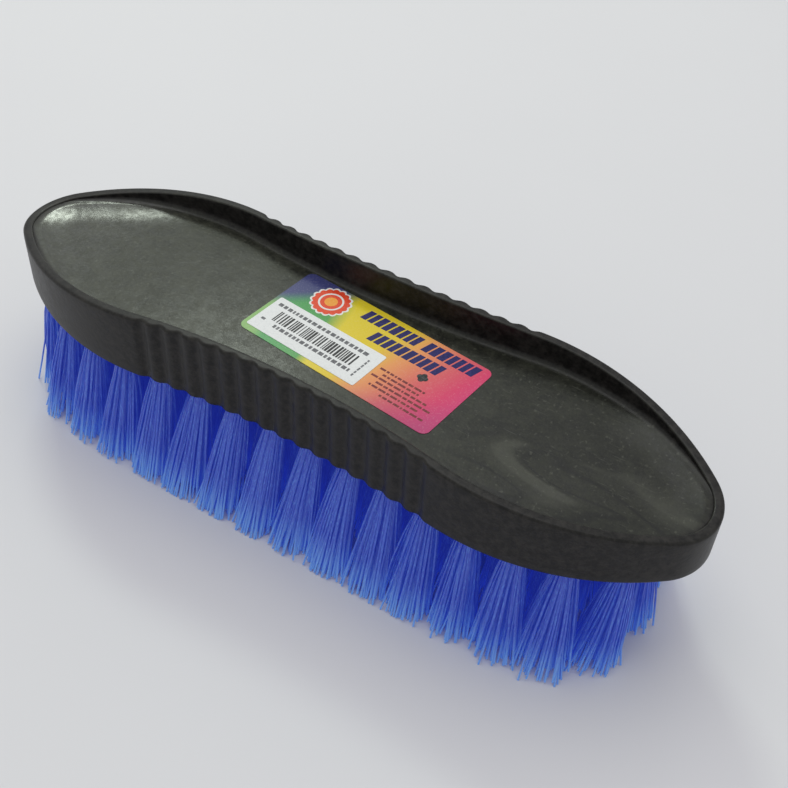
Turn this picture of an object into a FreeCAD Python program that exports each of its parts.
"""Hand scrubbing brush: a moulded block, staple-set bristle tufts, and a stuck-on label.

Millimetres. +Z is up and +X runs along the brush. The origin is the centre of the plane that the
trimmed bristle tips rest on.
"""

import FreeCAD, Part
import Sketcher
import math
import os
from FreeCAD import Placement, Rotation, Vector

SIZES = [
    # the block, seen from above
    ("overall_length", 200.0),
    ("waist_half_width", 24.1),
    ("lobe_half_width", 27.5),
    ("lobe_centre", 51.0),
    ("tip_arc", 14.5),
    # the block, seen from the side
    ("bristle_length", 31.0),
    ("plate_thickness", 12.2),
    ("recess_depth", 8.8),
    ("end_lip", 0.9),
    ("rim_wall", 2.5),
    ("bottom_round", 1.5),
    ("rim_round", 0.8),
    # finger-grip flutes on both sides of the waist
    ("flute_pitch", 5.3),
    ("flute_arc", 1.3),
    ("flute_depth", 0.6),
    # tufts: holes in the underside
    ("hole_diameter", 5.0),
    ("hole_depth", 9.5),
    ("hole_inset", 6.5),
    ("end_inset", 12.0),
    ("tuft_pitch", 11.4),
    ("tuft_clearance", 0.1),
    # tufts: trimmed tips
    ("tip_gap", 1.5),
    ("end_spread", 1.015),
    ("side_overhang", 6.0),
    ("trim_end_inset", 10.0),
    # flat wire anchors
    ("anchor_bite", 0.25),
    ("anchor_thickness", 0.4),
    ("anchor_height", 1.8),
    ("anchor_setback", 1.2),
    # label and the sticker on it
    ("label_length", 59.2),
    ("label_width", 28.0),
    ("label_thickness", 0.12),
    ("label_corner", 2.0),
    ("label_along", 5.6),
    ("label_across", 3.6),
    ("label_turn", -6.3),
    ("sticker_length", 34.9),
    ("sticker_width", 13.2),
    ("sticker_thickness", 0.1),
    ("sticker_along", -11.0),
    ("sticker_across", -5.6),
]

# How square the outline of the trimmed tips is: 2 would be an ellipse.
trim_squareness = 3.5
# Rows across, as shares of the outer row's distance from the middle.
full_rows = (-1.0, 0.0, 1.0)
staggered_rows = (-0.5, 0.5)

doc = FreeCAD.newDocument("ScrubbingBrush")
sheet = doc.addObject("Spreadsheet::Sheet", "Sizes")
for line, (alias, value) in enumerate(SIZES, start=1):
    sheet.set(f"A{line}", alias)
    sheet.set(f"B{line}", str(value))
    sheet.setAlias(f"B{line}", alias)
doc.recompute()


def size(alias):
    return float(sheet.get(alias))


# ---- the block's outline: tip, lobe and waist arcs, each tangent to the next ----

rise_rule = "(Sizes.lobe_half_width - Sizes.tip_arc)"
run_rule = "(Sizes.overall_length / 2 - Sizes.tip_arc - Sizes.lobe_centre)"
lobe_rule = f"(Sizes.lobe_half_width - ({rise_rule}^2 - {run_rule}^2) / (2 * {rise_rule}))"
seat_rule = f"(Sizes.waist_half_width - Sizes.lobe_half_width + {lobe_rule})"
waist_rule = f"(({seat_rule}^2 + Sizes.lobe_centre^2 - {lobe_rule}^2) / (2 * ({lobe_rule} - {seat_rule})))"


def outline_arcs():
    """The radii and centres of one quarter's three arcs, as the rules above give them."""
    rise = size("lobe_half_width") - size("tip_arc")
    run = size("overall_length") / 2 - size("tip_arc") - size("lobe_centre")
    lobe = size("lobe_half_width") - (rise**2 - run**2) / (2 * rise)
    seat = size("waist_half_width") - size("lobe_half_width") + lobe
    waist = (seat**2 + size("lobe_centre") ** 2 - lobe**2) / (2 * (lobe - seat))
    return {
        "lobe": lobe,
        "waist": waist,
        "tip_x": size("overall_length") / 2 - size("tip_arc"),
        "lobe_y": size("lobe_half_width") - lobe,
        "waist_y": size("waist_half_width") + waist,
    }


def half_width(x):
    """How far the outline stands from the long axis at x."""
    arcs = outline_arcs()
    x = abs(x)
    join_waist = size("lobe_centre") * arcs["waist"] / (arcs["waist"] + arcs["lobe"])
    lean = math.atan2(-arcs["lobe_y"], arcs["tip_x"] - size("lobe_centre"))
    join_tip = arcs["tip_x"] + size("tip_arc") * math.cos(lean)
    if x <= join_waist:
        return arcs["waist_y"] - math.sqrt(arcs["waist"] ** 2 - x**2)
    if x <= join_tip:
        return arcs["lobe_y"] + math.sqrt(arcs["lobe"] ** 2 - (x - size("lobe_centre")) ** 2)
    return math.sqrt(max(size("tip_arc") ** 2 - (x - arcs["tip_x"]) ** 2, 0.0))


def new_body(label):
    body = doc.addObject("PartDesign::Body", label.title().replace("_", ""))
    body.Label = label
    return body


def new_sketch(body, name, role, offset=None):
    """A sketch on one of the body's origin planes, raised by an expression of the sheet."""
    sketch = body.newObject("Sketcher::SketchObject", name)
    plane = [feature for feature in body.Origin.OriginFeatures if feature.Role == role][0]
    sketch.AttachmentSupport = [(plane, "")]
    sketch.MapMode = "FlatFace"
    if offset:
        sketch.setExpression("AttachmentOffset.Base.z", offset)
    return sketch


def drive(sketch, constraint, rule):
    """Adds a constraint whose value follows a rule of the sheet."""
    index = sketch.addConstraint(constraint)
    sketch.setExpression(f"Constraints[{index}]", rule)


def arc(centre_x, centre_y, radius, start, end):
    circle = Part.Circle(Vector(centre_x, centre_y, 0), Vector(0, 0, 1), radius)
    return Part.ArcOfCircle(circle, start, end)


def draw_outline(sketch, inset, inset_rule):
    """The closed outline of eight tangent arcs, moved inwards by inset."""
    arcs = outline_arcs()
    across = size("lobe_centre")
    tip = size("tip_arc") - inset
    lobe = arcs["lobe"] - inset
    waist = arcs["waist"] + inset
    lobe_y = arcs["lobe_y"]
    waist_y = arcs["waist_y"]
    lean = math.atan2(-lobe_y, arcs["tip_x"] - across)
    swing = math.atan2(waist_y - lobe_y, -across)
    turn = math.pi
    sketch.addGeometry(
        [
            arc(arcs["tip_x"], 0, tip, -lean, lean),
            arc(across, lobe_y, lobe, lean, swing),
            arc(0, waist_y, waist, -swing, swing - turn),
            arc(-across, lobe_y, lobe, turn - swing, turn - lean),
            arc(-arcs["tip_x"], 0, tip, turn - lean, turn + lean),
            arc(-across, -lobe_y, lobe, turn + lean, turn + swing),
            arc(0, -waist_y, waist, turn - swing, swing),
            arc(across, -lobe_y, lobe, -swing, -lean),
        ]
    )
    start, end, centre = 1, 2, 3
    joins = [
        (0, end, 1, start),
        (1, end, 2, end),
        (2, start, 3, start),
        (3, end, 4, start),
        (4, end, 5, start),
        (5, end, 6, end),
        (6, start, 7, start),
        (7, end, 0, start),
    ]
    for join in joins:
        sketch.addConstraint(Sketcher.Constraint("Tangent", *join))
    long_axis, origin = -1, (-1, 1)
    for geometry, sign in ((0, 1), (4, -1)):
        sketch.addConstraint(Sketcher.Constraint("PointOnObject", geometry, centre, long_axis))
        drive(sketch, Sketcher.Constraint("Radius", geometry, tip), f"Sizes.tip_arc - {inset_rule}")
        ends = (*origin, geometry, centre) if sign > 0 else (geometry, centre, *origin)
        rule = "Sizes.overall_length / 2 - Sizes.tip_arc"
        drive(sketch, Sketcher.Constraint("DistanceX", *ends, arcs["tip_x"]), rule)
    for geometry, sign in ((1, 1), (3, -1), (5, -1), (7, 1)):
        drive(sketch, Sketcher.Constraint("Radius", geometry, lobe), f"{lobe_rule} - {inset_rule}")
        ends = (*origin, geometry, centre) if sign > 0 else (geometry, centre, *origin)
        drive(sketch, Sketcher.Constraint("DistanceX", *ends, across), "Sizes.lobe_centre")
    for geometry in (2, 6):
        drive(sketch, Sketcher.Constraint("Radius", geometry, waist), f"{waist_rule} + {inset_rule}")


def draw_circles(sketch, centres, radius, rule):
    """Equal circles at the centres, all of them the size that the rule gives."""
    for x, y in centres:
        sketch.addGeometry(Part.Circle(Vector(x, y, 0), Vector(0, 0, 1), radius))
    drive(sketch, Sketcher.Constraint("Radius", 0, radius), rule)
    for index in range(1, len(centres)):
        sketch.addConstraint(Sketcher.Constraint("Equal", 0, index))


def flute_centres():
    """Flutes at an even pitch along both waist arcs, as many as the concave stretch holds."""
    arcs = outline_arcs()
    reach = size("lobe_centre") * arcs["waist"] / (arcs["waist"] + arcs["lobe"])
    count = int(2 * reach / size("flute_pitch") + 0.5)
    stand_off = arcs["waist"] - size("flute_arc") + size("flute_depth")
    centres = []
    for index in range(count):
        angle = (index - (count - 1) / 2) * size("flute_pitch") / arcs["waist"]
        x = stand_off * math.sin(angle)
        y = arcs["waist_y"] - stand_off * math.cos(angle)
        centres += [(x, y), (x, -y)]
    return centres


def tip_radius():
    """A tuft's radius at the tips, which leaves tip_gap to the next tuft of its row."""
    return (size("tuft_pitch") * size("end_spread") - size("tip_gap")) / 2


def tuft_columns():
    """Cross rows from -X to +X, each a list of tufts: (root x, root y, tip x, tip y, row across)."""
    outer = int((size("overall_length") / 2 - size("end_inset")) / size("tuft_pitch") + 0.5)
    steps = [index + 0.5 for index in range(-outer, outer)]
    steps += list(range(2 - outer, outer - 1))
    trim_width = size("lobe_half_width") + size("side_overhang") - tip_radius()
    trim_length = size("overall_length") / 2 - size("trim_end_inset")
    columns = []
    for step in sorted(steps):
        x = step * size("tuft_pitch")
        tip_x = x * size("end_spread")
        root_y = half_width(x) - size("hole_inset")
        bulge = 1 - (abs(tip_x) / trim_length) ** trim_squareness
        tip_y = trim_width * bulge ** (1 / trim_squareness)
        rows = full_rows if step % 1 else staggered_rows
        columns.append([(x, share * root_y, tip_x, share * tip_y, share) for share in rows])
    return columns


def edges_where(shape, test):
    return [f"Edge{index}" for index, edge in enumerate(shape.Edges, start=1) if test(edge)]


def add_pocket(body, sketch, name, depth_rule=None, **settings):
    """Cuts the sketch away, to a depth or right through, and makes sure that something was taken."""
    before = body.Shape.Volume
    pocket = body.newObject("PartDesign::Pocket", name)
    pocket.Profile = sketch
    for setting, value in settings.items():
        setattr(pocket, setting, value)
    if depth_rule:
        pocket.setExpression("Length", depth_rule)
    doc.recompute()
    if not body.Shape.Volume < before - 1.0:
        raise RuntimeError(f"{name} cuts nothing")
    return pocket


def draw_arch(sketch):
    """The space above the rim: an arc that crosses the waist at full height and drops to the tips."""
    reach = size("overall_length") / 2
    drop = size("recess_depth") - size("end_lip")
    top = size("bristle_length") + size("plate_thickness") + size("recess_depth")
    radius = (reach**2 + drop**2) / (2 * drop)
    past_ends = reach + drop
    lift = top + drop
    end_height = top - radius + math.sqrt(radius**2 - past_ends**2)
    angle = math.asin(past_ends / radius)
    corners = [
        Vector(past_ends, end_height, 0),
        Vector(past_ends, lift, 0),
        Vector(-past_ends, lift, 0),
        Vector(-past_ends, end_height, 0),
    ]
    quarter = math.pi / 2
    sketch.addGeometry(arc(0, top - radius, radius, quarter - angle, quarter + angle))
    for first, second in zip(corners, corners[1:]):
        sketch.addGeometry(Part.LineSegment(first, second))
    for join in ((0, 1, 1, 1), (1, 2, 2, 1), (2, 2, 3, 1), (3, 2, 0, 2)):
        sketch.addConstraint(Sketcher.Constraint("Coincident", *join))
    sketch.addConstraint(Sketcher.Constraint("PointOnObject", 0, 3, -2))
    sketch.addConstraint(Sketcher.Constraint("Vertical", 1))
    sketch.addConstraint(Sketcher.Constraint("Horizontal", 2))
    sketch.addConstraint(Sketcher.Constraint("Vertical", 3))
    drop_rule = "(Sizes.recess_depth - Sizes.end_lip)"
    radius_rule = f"((Sizes.overall_length / 2)^2 + {drop_rule}^2) / (2 * {drop_rule})"
    top_rule = "(Sizes.bristle_length + Sizes.plate_thickness + Sizes.recess_depth)"
    drive(sketch, Sketcher.Constraint("Radius", 0, radius), radius_rule)
    drive(sketch, Sketcher.Constraint("DistanceY", 0, 3, -1, 1, radius - top), f"{radius_rule} - {top_rule}")
    drive(sketch, Sketcher.Constraint("DistanceY", -1, 1, 2, 1, lift), f"{top_rule} + {drop_rule}")
    reach_rule = f"Sizes.overall_length / 2 + {drop_rule}"
    drive(sketch, Sketcher.Constraint("DistanceX", -1, 1, 2, 1, past_ends), reach_rule)
    drive(sketch, Sketcher.Constraint("DistanceX", 2, 2, -1, 1, past_ends), reach_rule)


def add_fillet(body, base, name, edges, rule):
    fillet = body.newObject("PartDesign::Fillet", name)
    fillet.Base = (base, edges)
    fillet.setExpression("Radius", rule)
    doc.recompute()
    return fillet


def make_block():
    body = new_body("block")
    underside = "Sizes.bristle_length"
    outline = new_sketch(body, "BlockOutline", "XY_Plane", underside)
    draw_outline(outline, 0.0, "0")

    pad = body.newObject("PartDesign::Pad", "BlockPad")
    pad.Profile = outline
    pad.setExpression("Length", "Sizes.plate_thickness + Sizes.recess_depth")
    doc.recompute()

    arch = new_sketch(body, "RimArch", "XZ_Plane")
    draw_arch(arch)
    add_pocket(body, arch, "RimArchCut", Type="ThroughAll", Midplane=True)

    floor = new_sketch(body, "RecessOutline", "XY_Plane", "Sizes.bristle_length + Sizes.plate_thickness")
    draw_outline(floor, size("rim_wall"), "Sizes.rim_wall")
    recess = add_pocket(body, floor, "Recess", Type="ThroughAll", Reversed=True)

    low = size("bristle_length")
    floor_height = low + size("plate_thickness")
    bottom = edges_where(body.Shape, lambda edge: abs(edge.BoundBox.ZMax - low) < 1e-6)
    base = add_fillet(body, recess, "BottomRound", bottom, "Sizes.bottom_round")

    def on_rim(edge):
        """The long edges of the rim's top are the only ones that bend or rise above the floor."""
        flat = edge.BoundBox.ZLength < 1e-6
        upright = edge.BoundBox.XLength < 1e-6 and edge.BoundBox.YLength < 1e-6
        return not flat and not upright and edge.BoundBox.ZMin > floor_height + 1e-3

    rim = edges_where(body.Shape, on_rim)
    rounded = add_fillet(body, base, "RimRound", rim, "Sizes.rim_round")

    flutes = new_sketch(body, "FluteCircles", "XY_Plane", underside)
    draw_circles(flutes, flute_centres(), size("flute_arc"), "Sizes.flute_arc")
    add_pocket(body, flutes, "GripFlutes", Type="ThroughAll", Reversed=True)

    centres = [(tuft[0], tuft[1]) for column in tuft_columns() for tuft in column]
    holes = new_sketch(body, "HoleCircles", "XY_Plane", underside)
    draw_circles(holes, centres, size("hole_diameter") / 2, "Sizes.hole_diameter / 2")
    add_pocket(body, holes, "TuftHoles", "Sizes.hole_depth", Reversed=True)
    if rounded.State != ["Up-to-date"] or not rim or not bottom:
        raise RuntimeError("the block's edges were not rounded")
    return body


def make_circle(name, x, y, height, height_rule, radius_rule):
    circle = doc.addObject("Part::Circle", name)
    circle.Placement = Placement(Vector(x, y, height), Rotation())
    circle.setExpression("Placement.Base.z", height_rule)
    circle.setExpression("Radius", radius_rule)
    return circle


def make_anchor(name, x, y):
    """The flat wire across the hole that the tuft is folded over. Its ends bite into the hole's wall."""
    anchor = doc.addObject("Part::Box", name)
    anchor.setExpression("Length", "Sizes.hole_diameter + 2 * Sizes.anchor_bite")
    anchor.setExpression("Width", "Sizes.anchor_thickness")
    anchor.setExpression("Height", "Sizes.anchor_height")
    anchor.Placement = Placement(Vector(x, y, 0), Rotation())
    anchor.setExpression("Placement.Base.x", f"{x} - Sizes.hole_diameter / 2 - Sizes.anchor_bite")
    anchor.setExpression("Placement.Base.y", f"{y} - Sizes.anchor_thickness / 2")
    rule = "Sizes.bristle_length + Sizes.hole_depth - Sizes.anchor_setback - Sizes.anchor_height"
    anchor.setExpression("Placement.Base.z", rule)
    return anchor


def make_tuft(name, tuft):
    """A straight stub that fills the hole, then a leaning bundle that widens to the trimmed tip."""
    x, y, tip_x, tip_y, _ = tuft
    stub_rule = "Sizes.hole_diameter / 2 - Sizes.tuft_clearance"
    tip_rule = "(Sizes.tuft_pitch * Sizes.end_spread - Sizes.tip_gap) / 2"
    top_rule = "Sizes.bristle_length + Sizes.hole_depth"
    low = size("bristle_length")
    loft = doc.addObject("Part::Loft", name)
    loft.Sections = [
        make_circle(name + "Fold", x, y, low + size("hole_depth"), top_rule, stub_rule),
        make_circle(name + "Mouth", x, y, low, "Sizes.bristle_length", stub_rule),
        make_circle(name + "Tip", tip_x, tip_y, 0.0, "0", tip_rule),
    ]
    loft.Solid = True
    loft.Ruled = True
    return loft


def make_tufts_and_anchors():
    """Tufts grouped by cross row, each with its anchor's slot, and anchors grouped by lengthwise row."""
    nodes = []
    anchor_rows = {share: [] for share in sorted(full_rows + staggered_rows)}
    for number, column in enumerate(tuft_columns(), start=1):
        lofts = []
        anchors = []
        for place, tuft in enumerate(column, start=1):
            name = f"{number:02d}Place{place}"
            lofts.append(make_tuft("Tuft" + name, tuft))
            anchors.append(make_anchor("Anchor" + name, tuft[0], tuft[1]))
            anchor_rows[tuft[4]].append(anchors[-1])
        bundle = doc.addObject("Part::Compound", f"Bundle{number:02d}")
        bundle.Links = lofts
        slots = doc.addObject("Part::Compound", f"Slots{number:02d}")
        slots.Links = anchors
        row = doc.addObject("Part::Cut", f"BristleRow{number:02d}")
        row.Base = bundle
        row.Tool = slots
        row.Label = f"bristle_row_{number:02d}"
        nodes.append(row)
    for number, share in enumerate(sorted(anchor_rows), start=1):
        wires = doc.addObject("Part::Compound", f"AnchorWires{number}")
        wires.Links = anchor_rows[share]
        wires.Label = f"anchor_wires_{number}"
        nodes.append(wires)
    return nodes


def make_sheet(name, prefix, along, across, height_rule):
    """A thin plate centred at (along, across) in the label's own turned frame."""
    plate = doc.addObject("Part::Box", name)
    plate.setExpression("Length", f"Sizes.{prefix}_length")
    plate.setExpression("Width", f"Sizes.{prefix}_width")
    plate.setExpression("Height", f"Sizes.{prefix}_thickness")
    turn = Rotation(Vector(0, 0, 1), size("label_turn"))
    centre = Vector(size("label_along"), size("label_across"), 0)
    corner = Vector(along - size(f"{prefix}_length") / 2, across - size(f"{prefix}_width") / 2, 0)
    plate.Placement = Placement(centre + turn.multVec(corner), turn)
    plate.setExpression("Placement.Base.z", height_rule)
    return plate


def make_label():
    plate = make_sheet("LabelSheet", "label", 0, 0, "Sizes.bristle_length + Sizes.plate_thickness")
    doc.recompute()
    thickness = size("label_thickness")

    def upright(edge):
        return abs(edge.BoundBox.ZLength - thickness) < 1e-6

    corners = [int(name[4:]) for name in edges_where(plate.Shape, upright)]
    label = doc.addObject("Part::Fillet", "Label")
    label.Base = plate
    label.Edges = [(corner, size("label_corner"), size("label_corner")) for corner in corners]
    label.Label = "label"
    return label


def make_sticker():
    rule = "Sizes.bristle_length + Sizes.plate_thickness + Sizes.label_thickness"
    sticker = make_sheet("PriceSticker", "sticker", size("sticker_along"), size("sticker_across"), rule)
    sticker.Label = "price_sticker"
    return sticker


def write_parts(nodes):
    """Checks every object of the document and every sub-part, then writes the sub-parts."""
    doc.recompute()
    for item in doc.Objects:
        if "Invalid" in item.State or "Error" in item.State:
            raise RuntimeError(f"{item.Label} failed: {item.State}")
    for node in nodes:
        if node.Shape.isNull() or not node.Shape.isValid() or not node.Shape.Solids:
            raise RuntimeError(f"{node.Label} has no valid solid")
    os.makedirs("parts", exist_ok=True)
    for node in nodes:
        node.Shape.exportStep(f"parts/{node.Label}.step")
        box = node.Shape.BoundBox
        print(f"{node.Label}: {len(node.Shape.Solids)} solids, {node.Shape.Volume:.0f} mm3,",
              f"z {box.ZMin:.2f} to {box.ZMax:.2f}")


write_parts([make_block(), *make_tufts_and_anchors(), make_label(), make_sticker()])
